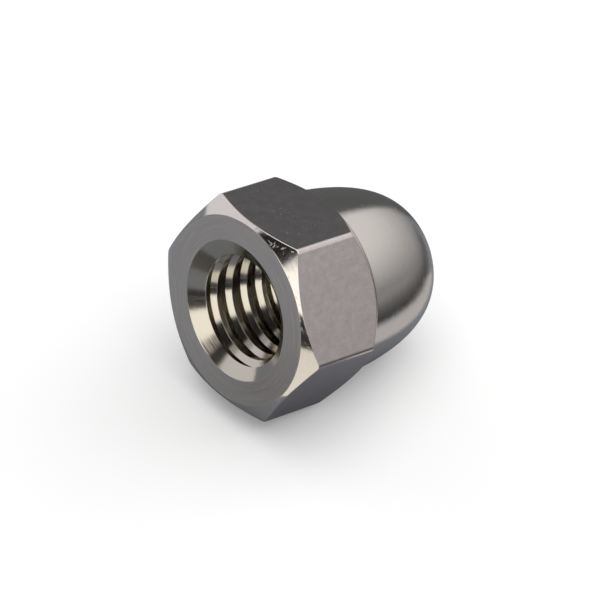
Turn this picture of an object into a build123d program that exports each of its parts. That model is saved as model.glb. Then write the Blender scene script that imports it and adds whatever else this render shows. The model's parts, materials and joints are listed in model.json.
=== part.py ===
"""Cap nut: a hexagon nut closed by a dome, turned from one bar, for an M8 x 1.25 screw.

The nut lies as it comes to rest on a level surface: on the back end of one flat and on
the side of its dome, with the open end lifted. +Z is up, and the nut's axis lies in the
YZ plane with the dome towards +Y. The origin is on that surface, under the middle of the
nut's bounding box. All sizes are in millimetres.
"""

import os
from math import asin, atan2, cos, pi, radians, sin, tan

from build123d import *

# hexagon
across_flats = 12.8
hex_height = 6.5  # bearing face to the foot of the dome
corner_round = 0.45  # radius along the six corners of the drawn bar
face_step = 0.25  # how far the bearing face's circle lies inside the flats
front_chamfer = 30.0  # degrees, measured from the bearing face
dome_step = 0.385  # how far the foot of the dome lies inside the flats
back_chamfer = 45.0  # degrees, measured from the hexagon's back

# dome
total_height = 14.2  # bearing face to the top of the dome
dome_sink = 1.7  # the dome's widest circle lies this far below its foot
flank_power = 4  # how full the dome's side is
crown_power = 2  # how round the dome's top is
profile_points = 9  # points that the dome's outline is drawn through
fine_steps = 2000  # steps along the dome when its touching point is looked for

# threaded hole, bored to the thread's minor diameter
minor_diameter = 6.9
crown_wall = 1.5  # between the drill's point and the top of the dome
drill_point = 118.0  # degrees across the drill's point
mouth_step = 1.1  # width of the countersink, from the hole to its mouth
mouth_angle = 120.0  # degrees across the countersink

# sizes that follow
flat_radius = across_flats / 2
face_radius = flat_radius - face_step
foot_radius = flat_radius - dome_step
bore_radius = minor_diameter / 2
mouth_radius = bore_radius + mouth_step
outside_radius = flat_radius * 1.2  # just clear of the hexagon's corners
mouth_depth = mouth_step / tan(radians(mouth_angle / 2))
bore_tip = total_height - crown_wall
bore_depth = bore_tip - bore_radius / tan(radians(drill_point / 2))

# the dome's profile is (r / widest_radius)^4 + (y / dome_rise)^2 = 1, with y from its widest circle
widest_height = hex_height - dome_sink
dome_rise = total_height - widest_height
foot_angle = asin(dome_sink / dome_rise)
widest_radius = foot_radius / cos(foot_angle) ** (2 / flank_power)


def dome_point(share):
    """Radius and height of the dome's profile, from its foot (0) to its top (1)."""
    angle = foot_angle + (pi / 2 - foot_angle) * share
    radius = widest_radius * max(cos(angle), 0) ** (2 / flank_power)
    return radius, widest_height + dome_rise * sin(angle) ** (2 / crown_power)


# the rest: a line from the flat's back end, at its middle, that just touches the dome
heel_height = hex_height - dome_step * tan(radians(back_chamfer))
fine_dome = [dome_point(step / fine_steps) for step in range(fine_steps + 1)]
tilt = min(atan2(flat_radius - r, y - heel_height) for r, y in fine_dome)

# the box's ends along Y, from the middle of the bearing face
open_end = -face_radius * sin(tilt)
dome_end = max(y * cos(tilt) + r * sin(tilt) for r, y in fine_dome)
mouth_centre = Vector(
    0,
    -(open_end + dome_end) / 2,
    heel_height * sin(tilt) + flat_radius * cos(tilt),
)
nut_direction = Vector(0, cos(tilt), -sin(tilt))
nut_axis = Axis(mouth_centre, nut_direction)

# the bearing face's plane, looking from the open end into the nut
end_plane = Plane(origin=mouth_centre, x_dir=(1, 0, 0), z_dir=nut_direction)
# the plane of the turned profiles: x is the radius and y is the height along the nut's axis
sideways = Vector(1, 0, 0)
profile_plane = Plane(origin=mouth_centre, x_dir=sideways, z_dir=sideways.cross(nut_direction))

with BuildPart() as cap_nut:
    # the drawn hexagonal bar, with two flats level with the nut's own top and bottom
    with BuildSketch(end_plane) as bar:
        RegularPolygon(radius=flat_radius, side_count=6, major_radius=False)
        fillet(bar.vertices(), radius=corner_round)
    extrude(amount=hex_height)

    # both ends of the hexagon are turned to a cone
    with BuildSketch(profile_plane) as turned_ends:
        with BuildLine():
            Polyline(
                (0, 0),
                (face_radius, 0),
                (outside_radius, (outside_radius - face_radius) * tan(radians(front_chamfer))),
                (outside_radius, hex_height - (outside_radius - foot_radius) * tan(radians(back_chamfer))),
                (foot_radius, hex_height),
                (0, hex_height),
                close=True,
            )
        make_face()
    revolve(axis=nut_axis, mode=Mode.INTERSECT)

    # the dome
    with BuildSketch(profile_plane) as dome:
        with BuildLine():
            outline = [dome_point(step / (profile_points - 1)) for step in range(profile_points)]
            side = Spline(outline)
            Polyline(side @ 1, (0, 0), (foot_radius, 0), side @ 0)
        make_face()
    revolve(axis=nut_axis)

    # the blind hole, with its countersunk mouth and the drill's point at its end
    with BuildSketch(profile_plane) as hole:
        with BuildLine():
            Polyline(
                (0, 0),
                (mouth_radius, 0),
                (bore_radius, mouth_depth),
                (bore_radius, bore_depth),
                (0, bore_tip),
                close=True,
            )
        make_face()
    revolve(axis=nut_axis, mode=Mode.SUBTRACT)

os.makedirs("parts", exist_ok=True)
cap_nut.part.label = "cap_nut"
export_step(cap_nut.part, "parts/cap_nut.step")
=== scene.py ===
import json
from math import asin, atan2, cos, hypot, pi, radians, sin, tan

import bpy
from mathutils import Euler, Matrix, Vector


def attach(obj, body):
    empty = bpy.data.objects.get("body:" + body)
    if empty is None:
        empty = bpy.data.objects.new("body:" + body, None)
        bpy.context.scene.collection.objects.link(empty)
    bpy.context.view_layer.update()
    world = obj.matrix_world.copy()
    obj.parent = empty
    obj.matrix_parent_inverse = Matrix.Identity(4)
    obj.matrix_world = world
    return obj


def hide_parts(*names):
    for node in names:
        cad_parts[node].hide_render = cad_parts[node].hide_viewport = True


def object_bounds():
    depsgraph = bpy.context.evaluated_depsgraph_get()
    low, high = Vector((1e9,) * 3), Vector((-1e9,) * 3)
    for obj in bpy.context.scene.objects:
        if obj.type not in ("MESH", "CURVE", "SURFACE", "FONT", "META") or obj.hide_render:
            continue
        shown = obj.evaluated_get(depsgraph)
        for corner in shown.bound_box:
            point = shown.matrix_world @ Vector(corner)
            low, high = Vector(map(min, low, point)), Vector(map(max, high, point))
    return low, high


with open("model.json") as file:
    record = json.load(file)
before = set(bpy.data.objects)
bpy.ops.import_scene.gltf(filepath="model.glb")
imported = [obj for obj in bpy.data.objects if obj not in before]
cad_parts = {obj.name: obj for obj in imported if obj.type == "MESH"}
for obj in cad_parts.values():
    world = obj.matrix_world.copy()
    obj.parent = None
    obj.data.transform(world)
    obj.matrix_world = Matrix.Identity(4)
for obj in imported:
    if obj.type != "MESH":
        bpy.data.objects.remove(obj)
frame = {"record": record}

cad_low, cad_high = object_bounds()

# The nut is modelled upright in millimetres, mouth down at height 0, and then laid down.
MM = 0.001
MICRON = 0.000001

# hexagon
FLAT_RADIUS = 6.4
HEX_HEIGHT = 6.5
CORNER_ROUND = 0.45
FACE_RADIUS = 6.15
FRONT_CHAMFER = radians(30)
FOOT_RADIUS = 6.015
BLANK_RADIUS = 7.68  # clear of the hexagon's corners
EDGE_SOFTNESS = 0.05
CORNER_FACETS = 5
FACET_TURN = radians(12)

# dome: (r / widest radius)^4 + (height above its widest circle / rise)^2 = 1
TOTAL_HEIGHT = 14.2
WIDEST_HEIGHT = 4.8
DOME_RISE = TOTAL_HEIGHT - WIDEST_HEIGHT
FOOT_ANGLE = asin((HEX_HEIGHT - WIDEST_HEIGHT) / DOME_RISE)
WIDEST_RADIUS = FOOT_RADIUS / cos(FOOT_ANGLE) ** 0.5
DOME_RINGS = 56

# hole and its M8 x 1.25 right-hand thread
BORE_RADIUS = 3.45
DRILL_RADIUS = 3.44  # just inside the crests, so that the drill only shows past the thread's end
ROOT_RADIUS = 4.05
MOUTH_RADIUS = 4.55
MOUTH_ANGLE = radians(60)  # between the countersink and the axis
CROWN_WALL = 1.5
DRILL_POINT = radians(59)
PITCH = 1.25
CREST_WIDTH = 0.459
ROOT_WIDTH = 0.11
FLANK_ANGLE = radians(30)  # between a flank and a plane across the axis
WORN_DEPTH = 0.35  # the side of each ridge that faces the mouth leans back this deep
WORN_SLOPE = 1.19  # depth over height of that leaning side
KNEE_SOFTNESS = 0.3  # rounds the corner between it and the flank
CREST_SOFTNESS = 0.05
ROOT_SOFTNESS = 0.05
THREAD_START = 1.133 - 4 * PITCH  # middle of a crest, before the mouth
THREAD_TURNS = 11

LATHE_STEPS = 240
THREAD_STEPS = 96
ARC_STEPS = 6
MERGE_DISTANCE = 0.0005

# where the nut lies
mounts = {mount["name"]: mount for mount in frame["record"]["mounts"]}
outwards = Vector(mounts["thread"]["axis"]).normalized()
on_axis = Vector(mounts["thread"]["pos_m"])
mouth_centre = on_axis + outwards * (Vector(mounts["bearing_face"]["pos_m"]) - on_axis).dot(outwards)
tilt = asin(outwards.z)
lying = Euler((-(pi / 2 + tilt), 0, 0))


# ---------------------------------------------------------------- modelling


def start_editing(piece):
    """Selects this piece alone and opens its mesh for editing."""
    bpy.ops.object.select_all(action="DESELECT")
    bpy.context.view_layer.objects.active = piece
    piece.select_set(True)
    bpy.ops.object.mode_set(mode="EDIT")


def stop_editing():
    """Puts the edited mesh back into its object."""
    bpy.ops.object.mode_set(mode="OBJECT")


def draw_line(name, points):
    """A line of edges through (radius, height) points in the XZ plane."""
    bpy.ops.object.select_all(action="DESELECT")
    bpy.ops.mesh.primitive_plane_add(size=1)
    line = bpy.context.object
    line.name = name
    bpy.ops.object.mode_set(mode="EDIT")
    bpy.ops.mesh.select_mode(type="VERT")
    bpy.ops.mesh.merge(type="CENTER")
    bpy.ops.mesh.select_all(action="SELECT")
    bpy.ops.transform.translate(value=(points[0][0], 0, points[0][1]))
    for here, there in zip(points, points[1:]):
        step = (there[0] - here[0], 0, there[1] - here[1])
        bpy.ops.mesh.extrude_vertices_move(TRANSFORM_OT_translate={"value": step})
    return line


def turn(name, points):
    """A closed solid of revolution from a profile that starts and ends on the axis."""
    solid = draw_line(name, points)
    bpy.ops.mesh.select_all(action="SELECT")
    bpy.ops.mesh.spin(steps=LATHE_STEPS, angle=2 * pi, center=(0, 0, 0), axis=(0, 0, 1))
    close_seams()
    return solid


def close_seams():
    """Joins points that meet and turns all faces outwards."""
    bpy.ops.mesh.select_all(action="SELECT")
    bpy.ops.mesh.remove_doubles(threshold=MERGE_DISTANCE)
    bpy.ops.mesh.normals_make_consistent(inside=False)
    stop_editing()


def soften(points, radii, steps):
    """Rounds each inner corner of an outline with an arc of its own radius."""
    rounded = [points[0]]
    for before, corner, after, radius in zip(points, points[1:], points[2:], radii):
        corner = Vector(corner)
        back = (Vector(before) - corner).normalized()
        on = (Vector(after) - corner).normalized()
        half = back.angle(on) / 2
        centre = corner + (back + on).normalized() * radius / sin(half)
        first = (corner + back * radius / tan(half) - centre).normalized()
        last = (corner + on * radius / tan(half) - centre).normalized()
        rounded += [tuple(centre + first.slerp(last, i / steps) * radius) for i in range(steps + 1)]
    return rounded + [points[-1]]


def dome_point(share):
    """Radius and height of the dome's outline, from its foot (0) to its top (1)."""
    angle = FOOT_ANGLE + (pi / 2 - FOOT_ANGLE) * share
    return WIDEST_RADIUS * max(cos(angle), 0) ** 0.5, WIDEST_HEIGHT + DOME_RISE * sin(angle)


def turned_blank():
    """The turned shape of the nut, with its drilled hole, before the flats and the thread."""
    drill_tip = TOTAL_HEIGHT - CROWN_WALL
    front_height = (BLANK_RADIUS - FACE_RADIUS) * tan(FRONT_CHAMFER)
    back_height = HEX_HEIGHT - (BLANK_RADIUS - FOOT_RADIUS)
    profile = [
        (0, drill_tip),
        (DRILL_RADIUS, drill_tip - DRILL_RADIUS / tan(DRILL_POINT)),
        (DRILL_RADIUS, (MOUTH_RADIUS - DRILL_RADIUS) / tan(MOUTH_ANGLE)),
        (MOUTH_RADIUS, 0),
        (FACE_RADIUS, 0),
        (BLANK_RADIUS, front_height),
        (BLANK_RADIUS, back_height),
    ]
    shares = [1 - (1 - ring / DOME_RINGS) ** 1.5 for ring in range(DOME_RINGS + 1)]
    return turn("cap_nut_body", profile + [dome_point(share) for share in shares])


def cut_plane(direction, distance):
    """Cuts away all that lies further out than distance in this direction round the axis."""
    normal = Vector((cos(direction), sin(direction), 0))
    bpy.ops.mesh.select_all(action="SELECT")
    bpy.ops.mesh.bisect(
        plane_co=normal * distance,
        plane_no=normal,
        use_fill=True,
        clear_outer=True,
        threshold=0.00001,
    )


def cut_flats(nut):
    """The six flats, and the narrow facets that round each corner between them."""
    corner_centre = (FLAT_RADIUS - CORNER_ROUND) / cos(radians(30))
    start_editing(nut)
    for side in range(6):
        cut_plane(radians(30 + 60 * side), FLAT_RADIUS)
    for corner in range(6):
        for facet in range(CORNER_FACETS):
            offset = (facet - CORNER_FACETS // 2) * FACET_TURN
            cut_plane(radians(60 * corner) + offset, corner_centre * cos(offset) + CORNER_ROUND)
    stop_editing()


def soften_edges(nut):
    """Takes the sharpness off every turned and cut edge."""
    start_editing(nut)
    bpy.ops.mesh.select_mode(type="EDGE")
    bpy.ops.mesh.select_all(action="DESELECT")
    bpy.ops.mesh.edges_select_sharp(sharpness=radians(18))
    bpy.ops.mesh.bevel(offset=EDGE_SOFTNESS, segments=3, profile=0.5, clamp_overlap=False)
    stop_editing()


def tap():
    """The solid that cuts the thread: its core, with one helical ridge round it."""
    bottom = THREAD_START
    middle = bottom + PITCH / 2
    knee = bottom + PITCH - CREST_WIDTH / 2 - WORN_DEPTH * tan(FLANK_ANGLE)
    profile = [
        (BORE_RADIUS, bottom),
        (BORE_RADIUS, bottom + CREST_WIDTH / 2),
        (ROOT_RADIUS, middle - ROOT_WIDTH / 2),
        (ROOT_RADIUS, middle + ROOT_WIDTH / 2),
        (BORE_RADIUS + WORN_DEPTH, knee),
        (BORE_RADIUS, knee + WORN_DEPTH / WORN_SLOPE),
        (BORE_RADIUS, bottom + PITCH),
    ]
    radii = (CREST_SOFTNESS, ROOT_SOFTNESS, ROOT_SOFTNESS, KNEE_SOFTNESS, CREST_SOFTNESS)
    cutter = draw_line("tap", soften(profile, radii, ARC_STEPS))
    stop_editing()
    screw = cutter.modifiers.new("thread", "SCREW")
    screw.axis = "Z"
    screw.angle = 2 * pi
    screw.screw_offset = PITCH
    screw.iterations = THREAD_TURNS
    screw.steps = screw.render_steps = THREAD_STEPS
    screw.use_merge_vertices = True
    screw.merge_threshold = MERGE_DISTANCE
    bpy.ops.object.modifier_apply(modifier=screw.name)
    top = THREAD_START + PITCH * (THREAD_TURNS + 1)
    for low, high in ((bottom, bottom + PITCH), (top - PITCH, top)):
        close_end(cutter, low, high)
    start_editing(cutter)
    close_seams()
    return cutter


def close_end(cutter, low, high):
    """Closes one open end of the tap with a fan of faces to its middle."""
    start_editing(cutter)
    bpy.ops.mesh.select_mode(type="EDGE")
    bpy.ops.mesh.select_all(action="DESELECT")
    bpy.ops.mesh.select_non_manifold()
    stop_editing()
    points = [v.co for v in cutter.data.vertices]
    slack = 0.01
    for edge in cutter.data.edges:
        heights = [points[i].z for i in edge.vertices]
        edge.select = edge.select and min(heights) > low - slack and max(heights) < high + slack
    bpy.ops.object.mode_set(mode="EDIT")
    bpy.ops.mesh.extrude_edges_move(TRANSFORM_OT_translate={"value": (0, 0, 0)})
    bpy.ops.mesh.merge(type="CENTER")
    stop_editing()


def cut_with(nut, cutter):
    """Takes the cutter's solid out of the nut, and the cutter with it."""
    cut = nut.modifiers.new("cut", "BOOLEAN")
    cut.operation = "DIFFERENCE"
    cut.solver = "EXACT"
    cut.object = cutter
    bpy.ops.object.select_all(action="DESELECT")
    bpy.context.view_layer.objects.active = nut
    nut.select_set(True)
    bpy.ops.object.modifier_apply(modifier=cut.name)
    bpy.data.objects.remove(cutter)


def lay_down(nut):
    """Turns the upright nut into its place and leaves its object at the origin."""
    nut.scale = (MM, MM, MM)
    nut.rotation_euler = lying
    nut.location = mouth_centre
    bpy.ops.object.select_all(action="DESELECT")
    bpy.context.view_layer.objects.active = nut
    nut.select_set(True)
    bpy.ops.object.transform_apply(location=True, rotation=True, scale=True)


def even_out_shading(nut):
    """Smooth turned surfaces, flat flats, and crisp edges between them."""
    bpy.ops.object.select_all(action="DESELECT")
    bpy.context.view_layer.objects.active = nut
    nut.select_set(True)
    bpy.ops.object.shade_smooth_by_angle(angle=radians(32))
    weight = nut.modifiers.new("weight", "WEIGHTED_NORMAL")
    weight.keep_sharp = True
    bpy.ops.object.modifier_apply(modifier=weight.name)


nut = turned_blank()
cut_flats(nut)
soften_edges(nut)
cut_with(nut, tap())
even_out_shading(nut)


# ---------------------------------------------------------------- finishes


def node(tree, kind, **values):
    """Adds a node; values are its properties, or inputs by name with spaces as underscores."""
    made = tree.nodes.new(kind)
    for key, value in values.items():
        if hasattr(made, key):
            setattr(made, key, value)
        else:
            made.inputs[key.replace("_", " ")].default_value = value
    return made


def maths(tree, operation, first, second=0.0):
    """A Math node whose inputs are sockets or numbers; returns its output."""
    made = node(tree, "ShaderNodeMath", operation=operation)
    for socket, value in zip(made.inputs, (first, second)):
        if isinstance(value, (int, float)):
            socket.default_value = value
        else:
            tree.links.new(value, socket)
    return made.outputs[0]


def vector(tree, x, y, z):
    """A vector from three sockets or numbers."""
    made = node(tree, "ShaderNodeCombineXYZ")
    for socket, value in zip(made.inputs, (x, y, z)):
        if isinstance(value, (int, float)):
            socket.default_value = value
        else:
            tree.links.new(value, socket)
    return made.outputs[0]


def noise(tree, where, scale, detail=3.0, roughness=0.55):
    """Noise between 0 and 1 at this place."""
    made = node(tree, "ShaderNodeTexNoise", Scale=scale, Detail=detail, Roughness=roughness)
    tree.links.new(where, made.inputs["Vector"])
    return made.outputs["Fac"]


def ramp(tree, value, low, high, to_low=0.0, to_high=1.0):
    """Maps value from low..high to to_low..to_high, clamped."""
    made = node(tree, "ShaderNodeMapRange", clamp=True)
    for socket, number in zip(list(made.inputs)[1:5], (low, high, to_low, to_high)):
        socket.default_value = number
    tree.links.new(value, made.inputs["Value"])
    return made.outputs["Result"]


def nut_place():
    """Node group: a point's place in the upright nut, in millimetres, and its radius and angle."""
    tree = bpy.data.node_groups.new("nut_place", "ShaderNodeTree")
    for name in ("Place", "Radius", "Angle", "Height"):
        kind = "NodeSocketVector" if name == "Place" else "NodeSocketFloat"
        tree.interface.new_socket(name, in_out="OUTPUT", socket_type=kind)
    upright = node(tree, "ShaderNodeMapping", vector_type="TEXTURE")
    upright.inputs["Location"].default_value = mouth_centre
    upright.inputs["Rotation"].default_value = lying
    upright.inputs["Scale"].default_value = (MM, MM, MM)
    tree.links.new(node(tree, "ShaderNodeTexCoord").outputs["Object"], upright.inputs["Vector"])
    parts = node(tree, "ShaderNodeSeparateXYZ")
    tree.links.new(upright.outputs[0], parts.inputs[0])
    x, y, height = parts.outputs
    x_squared = maths(tree, "MULTIPLY", x, x)
    y_squared = maths(tree, "MULTIPLY", y, y)
    radius = maths(tree, "SQRT", maths(tree, "ADD", x_squared, y_squared))
    out = node(tree, "NodeGroupOutput")
    for name, socket in (
        ("Place", upright.outputs[0]),
        ("Radius", radius),
        ("Angle", maths(tree, "ARCTAN2", y, x)),
        ("Height", height),
    ):
        tree.links.new(socket, out.inputs[name])
    return tree


def metal(name, colour, roughness, place_group):
    """A new metal material; returns it, its tree, its shader and the nut's coordinates."""
    material = bpy.data.materials.new(name)
    material.use_nodes = True
    tree = material.node_tree
    shader = tree.nodes["Principled BSDF"]
    shader.inputs["Base Color"].default_value = (*colour, 1)
    shader.inputs["Metallic"].default_value = 1.0
    shader.inputs["Roughness"].default_value = roughness
    place = node(tree, "ShaderNodeGroup", node_tree=place_group)
    return material, tree, shader, place.outputs


def add_bump(tree, shader, height, depth):
    """Raises the surface by height, as deep as depth in microns."""
    bump = node(tree, "ShaderNodeBump", Strength=1.0, Distance=depth * MICRON)
    tree.links.new(height, bump.inputs["Height"])
    tree.links.new(bump.outputs[0], shader.inputs["Normal"])


def tint(tree, shader, share, dark, light):
    """Mixes the shader's colour from dark to light by share."""
    mix = node(tree, "ShaderNodeMix", data_type="RGBA")
    mix.inputs[6].default_value = (*dark, 1)
    mix.inputs[7].default_value = (*light, 1)
    tree.links.new(share, mix.inputs[0])
    tree.links.new(mix.outputs[2], shader.inputs["Base Color"])


def rings(tree, at, pace, scale, detail=3.0):
    """Fine rings round the axis; a higher pace sets them closer together."""
    across = maths(tree, "MULTIPLY", at["Radius"], pace)
    return noise(tree, vector(tree, across, at["Angle"], 0), scale, detail)


NICKEL = (0.70, 0.65, 0.61)
SHADED_HOLE_NICKEL = (0.55, 0.51, 0.44)  # darker inside the hole: painted shade
SATIN_DARK = (0.60, 0.55, 0.51)
SATIN_LIGHT = (0.75, 0.69, 0.64)
DRAWN_DARK = (0.63, 0.56, 0.55)
DRAWN_LIGHT = (0.71, 0.63, 0.62)


def turned_face(place_group):
    """The bearing face: satin, with the lathe's fine rings and a few pits."""
    material, tree, shader, at = metal("turned_face", NICKEL, 0.34, place_group)
    fine = rings(tree, at, 9.0, 1.6, 4.0)
    pits = ramp(tree, noise(tree, at["Place"], 5.0, 4.0), 0.66, 0.72)
    tint(tree, shader, ramp(tree, fine, 0.3, 0.7), SATIN_DARK, SATIN_LIGHT)
    add_bump(tree, shader, maths(tree, "SUBTRACT", fine, pits), 12)
    return material


def turned_chamfer(place_group):
    """The cones at both ends of the hexagon: bright, with fine rings and small nicks."""
    material, tree, shader, at = metal("turned_chamfer", NICKEL, 0.1, place_group)
    fine = rings(tree, at, 8.0, 1.5)
    nicks = ramp(tree, noise(tree, at["Place"], 4.0, 5.0, 0.7), 0.60, 0.68)
    add_bump(tree, shader, maths(tree, "SUBTRACT", fine, nicks), 3)
    return material


def drawn_flats(place_group):
    """The drawn bar's flats and corners: faint lines along the axis, mottling and tiny specks."""
    material, tree, shader, at = metal("drawn_flats", NICKEL, 0.18, place_group)
    squeeze = node(tree, "ShaderNodeMapping")
    squeeze.inputs["Scale"].default_value = (1, 1, 0.04)
    tree.links.new(at["Place"], squeeze.inputs["Vector"])
    lines = noise(tree, squeeze.outputs[0], 6.0, 4.0, 0.6)
    mottling = noise(tree, at["Place"], 1.6, 5.0, 0.65)
    specks = ramp(tree, noise(tree, at["Place"], 7.0, 3.0), 0.70, 0.78)
    uneven = maths(tree, "ADD", maths(tree, "MULTIPLY", lines, 0.5), mottling)
    tint(tree, shader, ramp(tree, mottling, 0.35, 0.65), DRAWN_DARK, DRAWN_LIGHT)
    add_bump(tree, shader, maths(tree, "SUBTRACT", uneven, specks), 7)
    return material


def polished_dome(place_group):
    """The dome: polished on the lathe, with very fine rings that fray its reflections."""
    material, tree, shader, at = metal("polished_dome", NICKEL, 0.1, place_group)
    along = maths(tree, "SUBTRACT", at["Height"], at["Radius"])
    along = maths(tree, "MULTIPLY", along, 6.0)
    around = maths(tree, "MULTIPLY", at["Angle"], 0.8)
    fine = noise(tree, vector(tree, along, around, 0), 1.8, 5.0, 0.6)
    add_bump(tree, shader, fine, 10)
    return material


def cut_thread(place_group):
    """The thread, the hole and its mouth: a darker colour as painted shade, with fine lines left by the
    tools.
    """
    material, tree, shader, at = metal("cut_thread", SHADED_HOLE_NICKEL, 0.12, place_group)
    across = maths(tree, "MULTIPLY", at["Radius"], 8.0)
    along = maths(tree, "MULTIPLY", at["Height"], 8.0)
    turned_lines = noise(tree, vector(tree, across, at["Angle"], along), 1.6, 4.0)
    add_bump(tree, shader, turned_lines, 4)
    return material


def finish_surfaces(nut):
    """Gives each face of the upright nut the finish of its place."""
    place_group = nut_place()
    for make in (turned_face, turned_chamfer, drawn_flats, polished_dome, cut_thread):
        nut.data.materials.append(make(place_group))
    face_finish, chamfer_finish, flat_finish, dome_finish, thread_finish = range(5)
    slack = 0.02  # clear of rounding, and far less than any step between two surfaces
    for face in nut.data.polygons:
        x, y, height = face.center
        radius = hypot(x, y)
        in_hole = radius < ROOT_RADIUS + slack and height < TOTAL_HEIGHT - CROWN_WALL + slack / 2
        cone_height = (MOUTH_RADIUS - radius) / tan(MOUTH_ANGLE)
        in_mouth = radius < MOUTH_RADIUS and height < cone_height + slack
        if in_hole or in_mouth:
            face.material_index = thread_finish
        elif height < 0.005:
            face.material_index = face_finish
        elif abs(face.normal.z) < 0.25 and height < HEX_HEIGHT - 0.1:
            face.material_index = flat_finish
        elif height < HEX_HEIGHT - 0.05:
            face.material_index = chamfer_finish
        else:
            face.material_index = dome_finish


finish_surfaces(nut)
lay_down(nut)
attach(nut, "root")
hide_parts("cap_nut")

# ---------------------------------------------------------------- floor, lights and camera

middle = (cad_low + cad_high) / 2
FLOOR_GLOW = 0.16
WORLD_BRIGHTNESS = 0.45


def direction(azimuth, elevation):
    """From the nut; azimuth 0 is towards -Y and 90 towards +X, in degrees."""
    a, e = radians(azimuth), radians(elevation)
    return Vector((sin(a) * cos(e), -cos(a) * cos(e), sin(e)))


def plain_material(name, colour):
    """A matt colour."""
    material = bpy.data.materials.new(name)
    material.use_nodes = True
    tree = material.node_tree
    shader = tree.nodes["Principled BSDF"]
    shader.inputs["Base Color"].default_value = (*colour, 1)
    shader.inputs["Roughness"].default_value = 0.9
    shader.inputs["Specular IOR Level"].default_value = 0.0
    return material


def add_plane(name, width, height):
    """A flat piece of the studio, which isn't part of the nut."""
    bpy.ops.object.select_all(action="DESELECT")
    bpy.ops.mesh.primitive_plane_add(size=1)
    plane = bpy.context.object
    plane.name = name
    plane.scale = (width, height, 1)
    return plane


def lay_floor():
    """A pale floor; a faint glow, for the camera and for the metal alike, makes its far part white."""
    floor = add_plane("floor", 4, 4)
    material = plain_material("pale_floor", (0.9, 0.9, 0.9))
    tree = material.node_tree
    path = node(tree, "ShaderNodeLightPath")
    seen = maths(tree, "MAXIMUM", path.outputs["Is Camera Ray"], path.outputs["Is Glossy Ray"])
    seen = maths(tree, "MAXIMUM", seen, path.outputs["Is Transmission Ray"])
    shader = tree.nodes["Principled BSDF"]
    shader.inputs["Emission Color"].default_value = (1, 1, 1, 1)
    tree.links.new(maths(tree, "MULTIPLY", seen, FLOOR_GLOW), shader.inputs["Emission Strength"])
    floor.data.materials.append(material)


def face_nut(thing, azimuth, elevation, distance):
    """Places a lamp or the camera and points it at the middle of the nut."""
    away = direction(azimuth, elevation)
    thing.location = middle + away * distance
    thing.rotation_mode = "QUATERNION"
    thing.rotation_quaternion = away.to_track_quat("Z", "Y")


def soft_box(name, azimuth, elevation, distance, width, height, brightness, mirrored=True):
    """A square lamp that looks this bright in a mirror, whatever its size."""
    light = bpy.data.lights.new(name, "AREA")
    light.shape = "RECTANGLE"
    light.size, light.size_y = width, height
    light.energy = brightness * pi * width * height
    lamp = bpy.data.objects.new(name, light)
    bpy.context.scene.collection.objects.link(lamp)
    lamp.visible_camera = False
    lamp.visible_glossy = mirrored
    face_nut(lamp, azimuth, elevation, distance)


def graded(name, colour, low_shade, high_shade, full_at=1.0):
    """A glow that goes from low_shade at a card's lower edge to high_shade at full_at of its height."""
    material = bpy.data.materials.new(name)
    material.use_nodes = True
    tree = material.node_tree
    tree.nodes.remove(tree.nodes["Principled BSDF"])
    glow = node(tree, "ShaderNodeEmission")
    glow.inputs["Color"].default_value = (*colour, 1)
    parts = node(tree, "ShaderNodeSeparateXYZ")
    tree.links.new(node(tree, "ShaderNodeTexCoord").outputs["Object"], parts.inputs[0])
    shade = ramp(tree, parts.outputs[1], -0.5, full_at - 0.5, low_shade, high_shade)
    tree.links.new(shade, glow.inputs["Strength"])
    tree.links.new(glow.outputs[0], tree.nodes["Material Output"].inputs["Surface"])
    return material


def only_in_reflections(card):
    """Only the metal shows the card: it casts no shadow and lights nothing matt."""
    card.visible_camera = card.visible_diffuse = card.visible_shadow = False


def standing_card(name, distance, sides, heights, shades, colour=(1, 1, 1), full_at=1.0):
    """A card off camera that the metal reflects: it fills these azimuths and elevations."""
    left, right = sides
    low, high = (distance * tan(radians(angle)) for angle in heights)
    width = 2 * distance * tan(radians((right - left) / 2))
    card = add_plane(name, width, high - low)
    away = direction((left + right) / 2, 0)
    card.rotation_mode = "QUATERNION"
    card.rotation_quaternion = away.to_track_quat("Z", "Y")
    card.location = middle + away * distance + Vector((0, 0, (low + high) / 2))
    card.data.materials.append(graded(name, colour, *shades, full_at))
    only_in_reflections(card)


def lying_card(name, near, far, width, shades, lift, colour=(1, 1, 1), full_at=1.0, flare=1.0):
    """A card on the floor from near to far, two (x, y) places, that only the metal shows."""
    near, far = Vector((*near, 0)) * MM, Vector((*far, 0)) * MM
    card = add_plane(name, width * MM, (far - near).length)
    for corner in card.data.vertices:
        if corner.co.y > 0:
            corner.co.x *= flare
    card.rotation_euler.z = atan2(far.y - near.y, far.x - near.x) - pi / 2
    card.location = (near + far) / 2 + Vector((0, 0, lift * MM))
    card.data.materials.append(graded(name, colour, *shades, full_at))
    only_in_reflections(card)


def light_world(brightness):
    """An even white surrounding."""
    world = bpy.data.worlds.new("studio")
    world.use_nodes = True
    world.node_tree.nodes["Background"].inputs["Color"].default_value = (1, 1, 1, 1)
    world.node_tree.nodes["Background"].inputs["Strength"].default_value = brightness
    bpy.context.scene.world = world


CAMERA_AZIMUTH = 49.61
CAMERA_ELEVATION = 40.64
CAMERA_DISTANCE = 0.256
CAMERA_LENS = 244.4
CAMERA_SIDE = -0.00086  # steps off the line to the nut's middle, which frame the nut
CAMERA_UP = -0.00153


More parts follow.
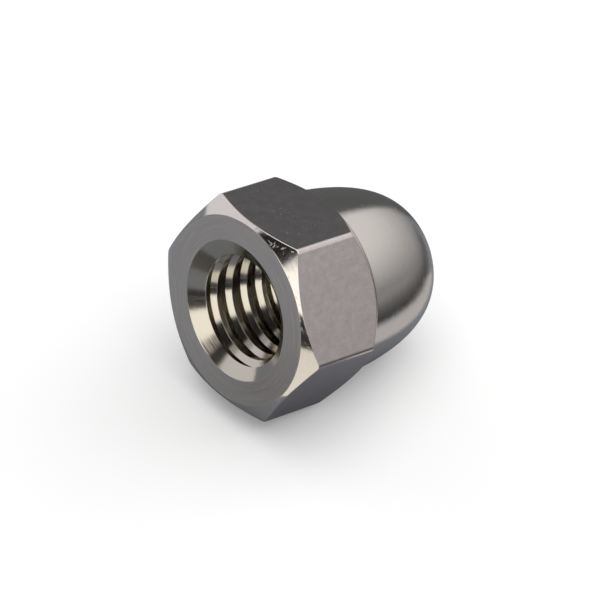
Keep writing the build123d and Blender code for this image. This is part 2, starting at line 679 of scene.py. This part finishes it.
def place_camera():
    """A long lens that looks down on the open end from the nut's right."""
    data = bpy.data.cameras.new("camera")
    data.lens = CAMERA_LENS
    data.sensor_width = 36
    data.clip_start, data.clip_end = 0.01, 10
    camera = bpy.data.objects.new("camera", data)
    bpy.context.scene.collection.objects.link(camera)
    face_nut(camera, CAMERA_AZIMUTH, CAMERA_ELEVATION, CAMERA_DISTANCE)
    side, up = Matrix(camera.rotation_quaternion.to_matrix()).transposed()[:2]
    camera.location += side * CAMERA_SIDE + up * CAMERA_UP
    bpy.context.scene.camera = camera


PALE_BLUE = (0.94, 0.96, 1.0)
COOL_GREY = (0.92, 0.98, 1.0)
COOL_WHITE = (0.96, 0.95, 1.0)
WARM_WHITE = (1.0, 0.98, 0.93)
CREAM = (1.0, 0.97, 0.88)
BLACK = (0.03, 0.03)
DEEP_BLACK = (0.02, 0.02)
BRIGHT = (1.5, 1.5)

lay_floor()
light_world(WORLD_BRIGHTNESS)
soft_box("overhead", 140, 78, 0.4, 0.6, 0.6, 1.0)
soft_box("back_light", 165, 22, 0.4, 0.5, 0.4, 0.8, mirrored=False)
soft_box("left_light", -90, 22, 0.4, 0.4, 0.3, 0.8, mirrored=False)

# grey mat that the nut seems to lie on in its own reflections, and cards lying on it
mat = add_plane("grey_mat", 0.6, 0.6)
mat.location.z = 0.05 * MM
mat.data.materials.append(plain_material("grey_mat", (0.26, 0.28, 0.31)))
only_in_reflections(mat)
lying_card("dark_back", (9.5, 13), (60, 43), 120, (0.05, 0.30), 0.10, full_at=0.4)
lying_card("light_back", (5.5, 8), (10, 10), 18, (0.55, 0.55), 0.08)
lying_card("left_back_gap", (-7, 9), (-150, 190), 12, (0.13, 0.12), 0.12, PALE_BLUE, flare=12)
lying_card("cream_front", (6, -11), (24, -50), 5, (1.0, 0.9), 0.10, CREAM, flare=5)
lying_card("front_post_foot", (14, -45), (90, -249), 20, BLACK, 0.12, flare=7)
lying_card("dark_front", (-1, -13), (-4, -22), 5, (0.08, 0.15), 0.10)

# cards standing round the nut: windows and dark gaps between them, for the metal to show
standing_card("back_window", 0.30, (125, 204), (-1, 42), (0.34, 0.84), full_at=0.55)
standing_card("back_left_gap", 0.27, (-156, -127), (-1, 45), (0.12, 0.145), COOL_GREY)
standing_card("left_window", 0.30, (-126, -34), (-1, 44), (0.9, 0.9), COOL_WHITE)
standing_card("front_gap", 0.29, (-31, -21), (-1, 40), (0.15, 0.15))
standing_card("front_black", 0.27, (-33, -6), (25, 60), DEEP_BLACK)
standing_card("front_window", 0.28, (-20, 18), (0, 27), BRIGHT, WARM_WHITE)
standing_card("front_right_window", 0.28, (10, 42), (0, 38), BRIGHT, WARM_WHITE)
standing_card("front_upper_gap", 0.26, (-6, 45), (38, 62), BLACK)
standing_card("front_post", 0.26, (7, 45), (-1, 8), BLACK)
place_camera()
bpy.context.scene.view_settings.view_transform = "Standard"
